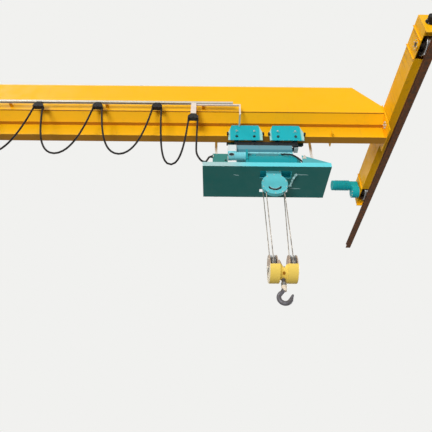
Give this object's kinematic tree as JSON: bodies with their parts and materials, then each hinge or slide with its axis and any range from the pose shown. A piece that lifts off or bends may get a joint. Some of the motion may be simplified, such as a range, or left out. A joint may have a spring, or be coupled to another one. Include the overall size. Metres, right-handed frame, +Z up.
{
  "type": "overhead bridge crane",
  "caption": "Yellow single-girder overhead bridge crane with a teal underhung rope hoist, festoon cable, hook block and short runway rails.",
  "frame": {"origin": "centre of the left runway rail's foot, on its underside", "axes": "+X along the girder to the right rail, +Y along the runway away from the festoon side, +Z up"},
  "size_m": [18.27, 6, 3.818],
  "materials": {
    "crane_yellow": "semi-gloss enamel, lightly soiled",
    "block_yellow": "semi-gloss enamel, chipped at the edges",
    "hoist_paint": "semi-gloss enamel",
    "panel_green": "satin enamel",
    "black_paint": "satin",
    "galvanised": "dull zinc",
    "worn_steel": "worn running surfaces",
    "forged_steel": "dark forged, oiled",
    "rail_steel": "rusty sides, bright head",
    "wire_rope": "greased wire strands",
    "buffer_rubber": "matte",
    "cable_jacket": "matte"
  },
  "bodies": {
    "runway": {"rail_left": "rail_steel", "rail_right": "rail_steel"},
    "bridge": {"rolled_beam": "crane_yellow", "box_shell": "crane_yellow", "slanted_plates": "crane_yellow", "girder_end_plates": "crane_yellow", "end_carriage_left": "crane_yellow", "end_carriage_right": "crane_yellow", "carriage_buffers": "buffer_rubber", "travel_drive_left": "hoist_paint", "travel_drive_right": "hoist_paint", "cable_track": "galvanised", "track_brackets": "crane_yellow", "cable_anchor": "black_paint", "trolley_stops": "crane_yellow", "festoon_cable": "cable_jacket"},
    "hoist": {"trolley_left": "hoist_paint", "trolley_right": "hoist_paint", "trolley_buffers": "buffer_rubber", "trolley_drive": "hoist_paint", "cross_beam": "hoist_paint", "drum_housing": "hoist_paint", "hoist_motor": "galvanised", "gearbox": "hoist_paint", "control_box": "panel_green", "heat_shield": "hoist_paint", "shield_hangers": "hoist_paint", "pulley_cover": "hoist_paint", "tow_arm": "galvanised", "hoist_cable": "cable_jacket", "hoist_ropes": "wire_rope"},
    "hook_block": {"block_housing": "block_yellow", "block_axle": "worn_steel", "rope_turns": "wire_rope"},
    "hook": {"hook": "forged_steel", "hook_nut": "worn_steel"},
    "wheel_left_near": {"wheel_left_near": "worn_steel"},
    "wheel_left_far": {"wheel_left_far": "worn_steel"},
    "wheel_right_near": {"wheel_right_near": "worn_steel"},
    "wheel_right_far": {"wheel_right_far": "worn_steel"},
    "runners_1": {"runners_1": "worn_steel"},
    "runners_2": {"runners_2": "worn_steel"},
    "runners_3": {"runners_3": "worn_steel"},
    "runners_4": {"runners_4": "worn_steel"},
    "sheave_left": {"sheave_left": "worn_steel"},
    "sheave_right": {"sheave_right": "worn_steel"},
    "saddle_1": {"saddle_1": "black_paint"},
    "saddle_2": {"saddle_2": "black_paint"},
    "saddle_3": {"saddle_3": "black_paint"},
    "saddle_4": {"saddle_4": "black_paint"},
    "saddle_5": {"saddle_5": "black_paint"},
    "saddle_6": {"saddle_6": "black_paint"},
    "saddle_7": {"saddle_7": "black_paint"},
    "saddle_8": {"saddle_8": "black_paint"},
    "saddle_9": {"saddle_9": "black_paint"},
    "saddle_10": {"saddle_10": "black_paint"},
    "saddle_11": {"saddle_11": "black_paint"},
    "saddle_12": {"saddle_12": "black_paint"},
    "saddle_13": {"saddle_13": "black_paint"},
    "saddle_14": {"saddle_14": "black_paint"}
  },
  "joints": [
    {"name": "long_travel", "type": "slide", "parent": "runway", "child": "bridge", "axis": [0, 1, 0], "range_m": [-1.1, 1.1]},
    {"name": "cross_travel", "type": "slide", "parent": "bridge", "child": "hoist", "axis": [1, 0, 0], "range_m": [-10.6, 0.4], "deforming": ["festoon_cable"]},
    {"name": "hoisting", "type": "slide", "parent": "hoist", "child": "hook_block", "axis": [0, 0, 1], "range_m": [-5.25, 0.75], "deforming": ["hoist_ropes"]},
    {"name": "hook_swivel", "type": "hinge", "parent": "hook_block", "child": "hook", "pos_m": [16.11, 0, -2.27], "axis": [0, 0, 1], "continuous": true},
    {"name": "wheel_left_near_turn", "type": "hinge", "parent": "bridge", "child": "wheel_left_near", "pos_m": [0, -1.5, 0.2423], "axis": [1, 0, 0], "range_deg": [-471.9, 471.9]},
    {"name": "wheel_left_far_turn", "type": "hinge", "parent": "bridge", "child": "wheel_left_far", "pos_m": [0, 1.5, 0.2423], "axis": [1, 0, 0], "range_deg": [-471.9, 471.9]},
    {"name": "wheel_right_near_turn", "type": "hinge", "parent": "bridge", "child": "wheel_right_near", "pos_m": [18, -1.5, 0.2423], "axis": [1, 0, 0], "range_deg": [-471.9, 471.9]},
    {"name": "wheel_right_far_turn", "type": "hinge", "parent": "bridge", "child": "wheel_right_far", "pos_m": [18, 1.5, 0.2423], "axis": [1, 0, 0], "range_deg": [-471.9, 471.9]},
    {"name": "runners_1_turn", "type": "hinge", "parent": "hoist", "child": "runners_1", "pos_m": [15.583, 0, 0.0843], "axis": [0, 1, 0], "range_deg": [-10127.3, 387]},
    {"name": "runners_2_turn", "type": "hinge", "parent": "hoist", "child": "runners_2", "pos_m": [15.849, 0, 0.0843], "axis": [0, 1, 0], "range_deg": [-10127.3, 387]},
    {"name": "runners_3_turn", "type": "hinge", "parent": "hoist", "child": "runners_3", "pos_m": [16.211, 0, 0.0843], "axis": [0, 1, 0], "range_deg": [-10127.3, 387]},
    {"name": "runners_4_turn", "type": "hinge", "parent": "hoist", "child": "runners_4", "pos_m": [16.477, 0, 0.0843], "axis": [0, 1, 0], "range_deg": [-10127.3, 387]},
    {"name": "sheave_left_turn", "type": "hinge", "parent": "hook_block", "child": "sheave_left", "pos_m": [15.988, 0, -2.27], "axis": [1, 0, 0], "range_deg": [-2037.5, 2037.5]},
    {"name": "sheave_right_turn", "type": "hinge", "parent": "hook_block", "child": "sheave_right", "pos_m": [16.232, 0, -2.27], "axis": [1, 0, 0], "range_deg": [-2037.5, 2037.5]},
    {"name": "saddle_1_run", "type": "slide", "parent": "bridge", "child": "saddle_1", "axis": [1, 0, 0], "range_m": [-10.233, 0.405]},
    {"name": "saddle_2_run", "type": "slide", "parent": "bridge", "child": "saddle_2", "axis": [1, 0, 0], "range_m": [-9.503, 0.378]},
    {"name": "saddle_3_run", "type": "slide", "parent": "bridge", "child": "saddle_3", "axis": [1, 0, 0], "range_m": [-8.774, 0.35]},
    {"name": "saddle_4_run", "type": "slide", "parent": "bridge", "child": "saddle_4", "axis": [1, 0, 0], "range_m": [-8.044, 0.323]},
    {"name": "saddle_5_run", "type": "slide", "parent": "bridge", "child": "saddle_5", "axis": [1, 0, 0], "range_m": [-7.315, 0.295]},
    {"name": "saddle_6_run", "type": "slide", "parent": "bridge", "child": "saddle_6", "axis": [1, 0, 0], "range_m": [-6.585, 0.268]},
    {"name": "saddle_7_run", "type": "slide", "parent": "bridge", "child": "saddle_7", "axis": [1, 0, 0], "range_m": [-5.856, 0.24]},
    {"name": "saddle_8_run", "type": "slide", "parent": "bridge", "child": "saddle_8", "axis": [1, 0, 0], "range_m": [-5.126, 0.213]},
    {"name": "saddle_9_run", "type": "slide", "parent": "bridge", "child": "saddle_9", "axis": [1, 0, 0], "range_m": [-4.397, 0.185]},
    {"name": "saddle_10_run", "type": "slide", "parent": "bridge", "child": "saddle_10", "axis": [1, 0, 0], "range_m": [-3.667, 0.158]},
    {"name": "saddle_11_run", "type": "slide", "parent": "bridge", "child": "saddle_11", "axis": [1, 0, 0], "range_m": [-2.938, 0.13]},
    {"name": "saddle_12_run", "type": "slide", "parent": "bridge", "child": "saddle_12", "axis": [1, 0, 0], "range_m": [-2.208, 0.103]},
    {"name": "saddle_13_run", "type": "slide", "parent": "bridge", "child": "saddle_13", "axis": [1, 0, 0], "range_m": [-1.479, 0.075]},
    {"name": "saddle_14_run", "type": "slide", "parent": "bridge", "child": "saddle_14", "axis": [1, 0, 0], "range_m": [-0.749, 0.048]}
  ],
  "couplings": [
    {"joint": "wheel_left_near_turn", "follows": "long_travel", "rad_per_m": -7.4074},
    {"joint": "wheel_left_far_turn", "follows": "long_travel", "rad_per_m": -7.4074},
    {"joint": "wheel_right_near_turn", "follows": "long_travel", "rad_per_m": -7.4074},
    {"joint": "wheel_right_far_turn", "follows": "long_travel", "rad_per_m": -7.4074},
    {"joint": "runners_1_turn", "follows": "cross_travel", "rad_per_m": 16.667},
    {"joint": "runners_2_turn", "follows": "cross_travel", "rad_per_m": 16.667},
    {"joint": "runners_3_turn", "follows": "cross_travel", "rad_per_m": 16.667},
    {"joint": "runners_4_turn", "follows": "cross_travel", "rad_per_m": 16.667},
    {"joint": "sheave_left_turn", "follows": "hoisting", "rad_per_m": 6.7568},
    {"joint": "sheave_right_turn", "follows": "hoisting", "rad_per_m": 6.7568},
    {"joint": "saddle_1_run", "follows": "cross_travel", "ratio": 0.96348},
    {"joint": "saddle_2_run", "follows": "cross_travel", "ratio": 0.89466},
    {"joint": "saddle_3_run", "follows": "cross_travel", "ratio": 0.82584},
    {"joint": "saddle_4_run", "follows": "cross_travel", "ratio": 0.75702},
    {"joint": "saddle_5_run", "follows": "cross_travel", "ratio": 0.6882},
    {"joint": "saddle_6_run", "follows": "cross_travel", "ratio": 0.61938},
    {"joint": "saddle_7_run", "follows": "cross_travel", "ratio": 0.55056},
    {"joint": "saddle_8_run", "follows": "cross_travel", "ratio": 0.48174},
    {"joint": "saddle_9_run", "follows": "cross_travel", "ratio": 0.41292},
    {"joint": "saddle_10_run", "follows": "cross_travel", "ratio": 0.3441},
    {"joint": "saddle_11_run", "follows": "cross_travel", "ratio": 0.27528},
    {"joint": "saddle_12_run", "follows": "cross_travel", "ratio": 0.20646},
    {"joint": "saddle_13_run", "follows": "cross_travel", "ratio": 0.13764},
    {"joint": "saddle_14_run", "follows": "cross_travel", "ratio": 0.06882}
  ]
}
